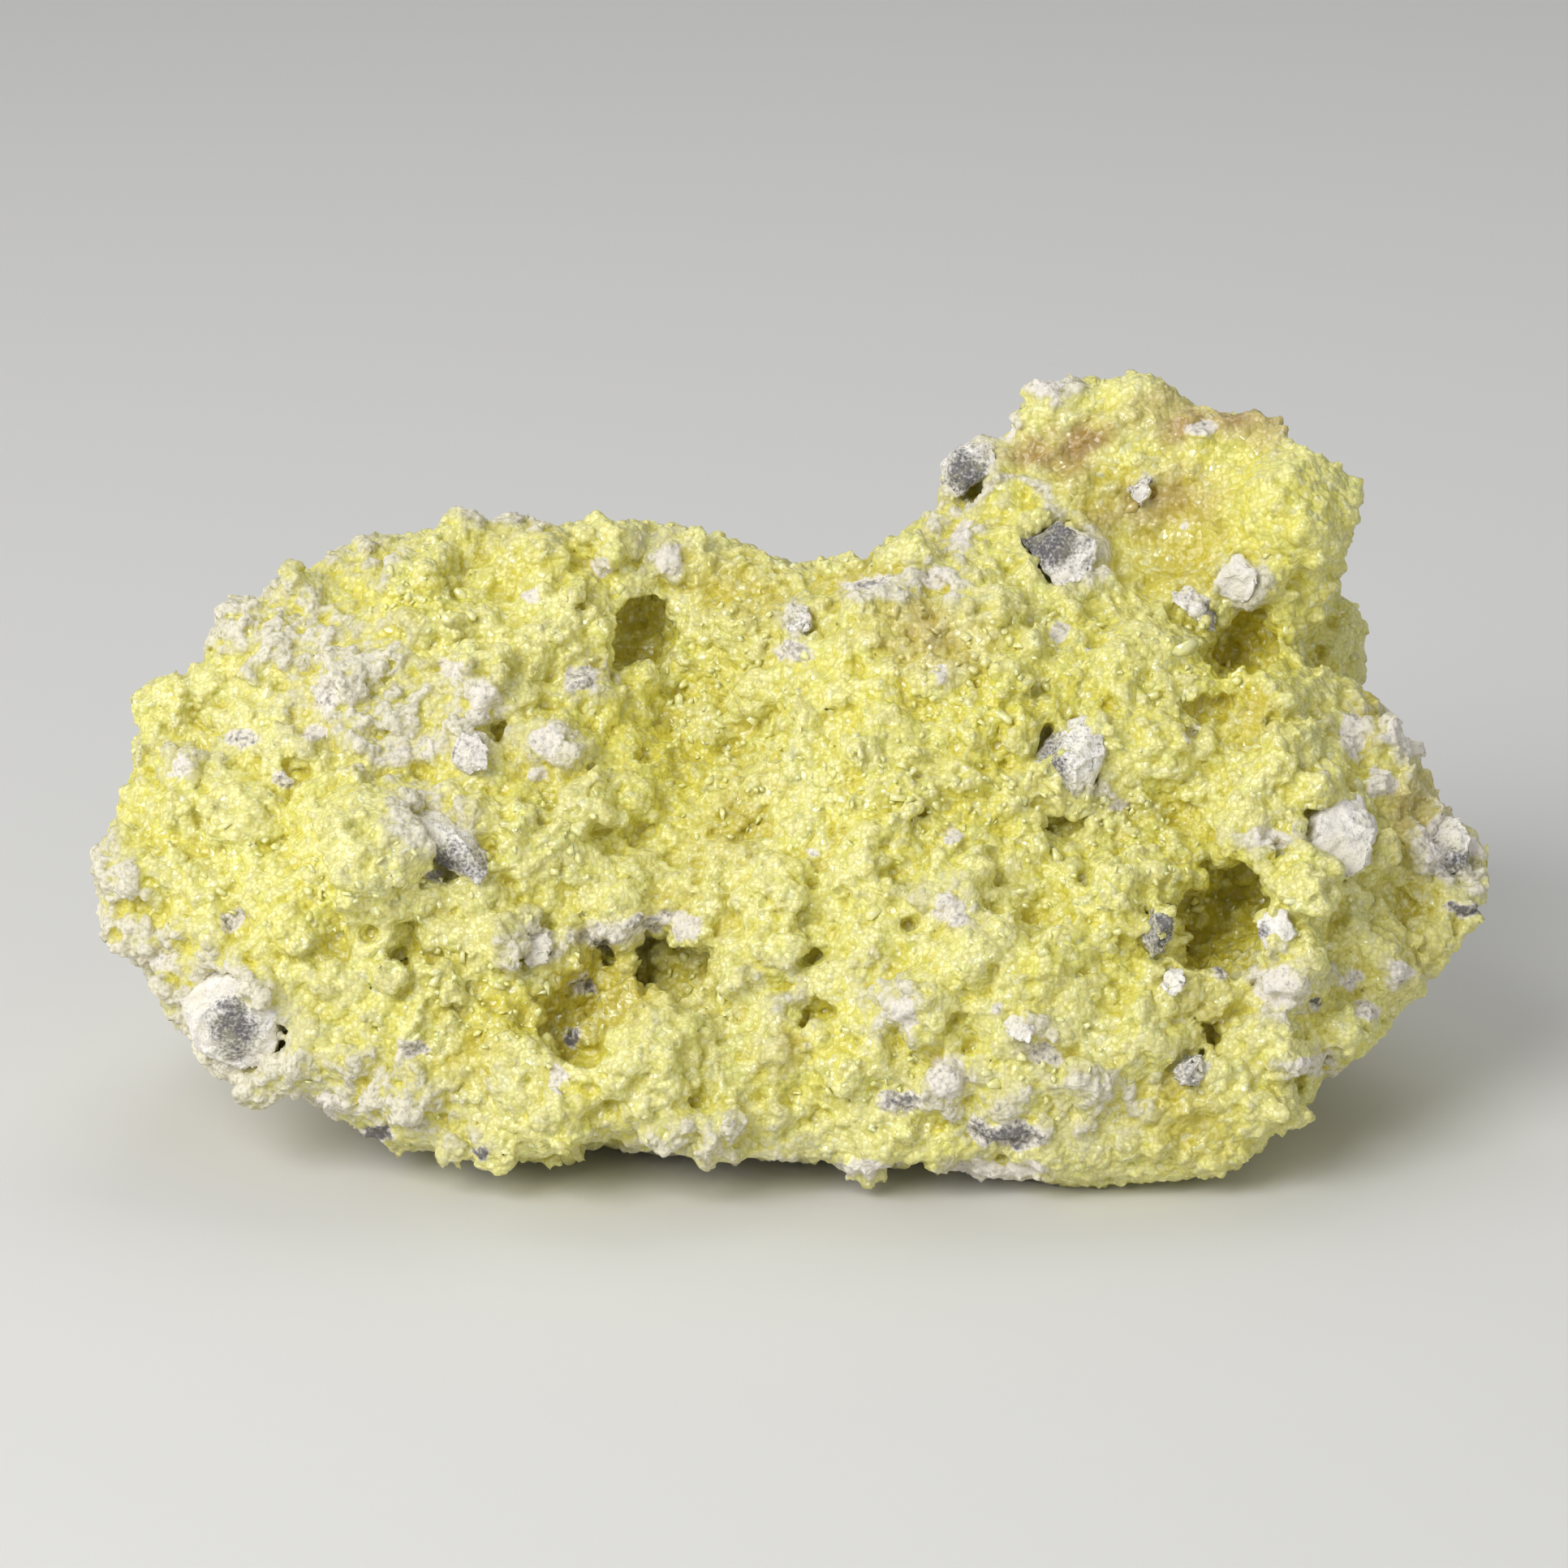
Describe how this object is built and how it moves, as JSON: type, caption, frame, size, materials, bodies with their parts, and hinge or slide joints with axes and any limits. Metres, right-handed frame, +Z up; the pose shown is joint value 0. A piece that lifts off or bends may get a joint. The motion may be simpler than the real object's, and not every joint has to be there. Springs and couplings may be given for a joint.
{
  "type": "native sulfur specimen",
  "caption": "Lump of granular yellow sulfur crystals with open hollows and pieces of pale volcanic rock, standing on its broken base as a display mineral.",
  "frame": {"origin": "middle of the specimen's bounding box in plan, on the surface that it stands on", "axes": "+X along the longest way, from the narrow left end to the end with the lobe; +Z up; the face with the hollows looks towards -Y"},
  "size_m": [0.1495, 0.0793, 0.0781],
  "materials": {
    "sulfur": "satin",
    "rock_white": "matte",
    "rock_grey": "matte",
    "rock_dark": "matte"
  },
  "bodies": {
    "root": {"sulfur_mass": "sulfur", "dark_rock_on_ledge": "rock_dark", "dark_rock_beside_lobe": "rock_dark", "white_rock_right": "rock_white", "kite_rock_centre": "rock_grey", "grey_rock_under_lobe": "rock_grey", "pink_rock_on_lobe": "rock_white", "small_rock_on_lobe": "rock_white", "cube_rock_left": "rock_grey", "long_rock_left": "rock_grey", "white_rock_low_left": "rock_white", "grey_rock_top_centre": "rock_grey", "white_rock_low_centre": "rock_white", "dark_rock_in_hollow": "rock_dark", "white_rock_in_hollow": "rock_white", "white_rock_below_hollow": "rock_white", "grey_rock_right_tip": "rock_grey", "white_rock_mid_left": "rock_white", "grey_rock_low_right": "rock_grey"}
  },
  "joints": []
}
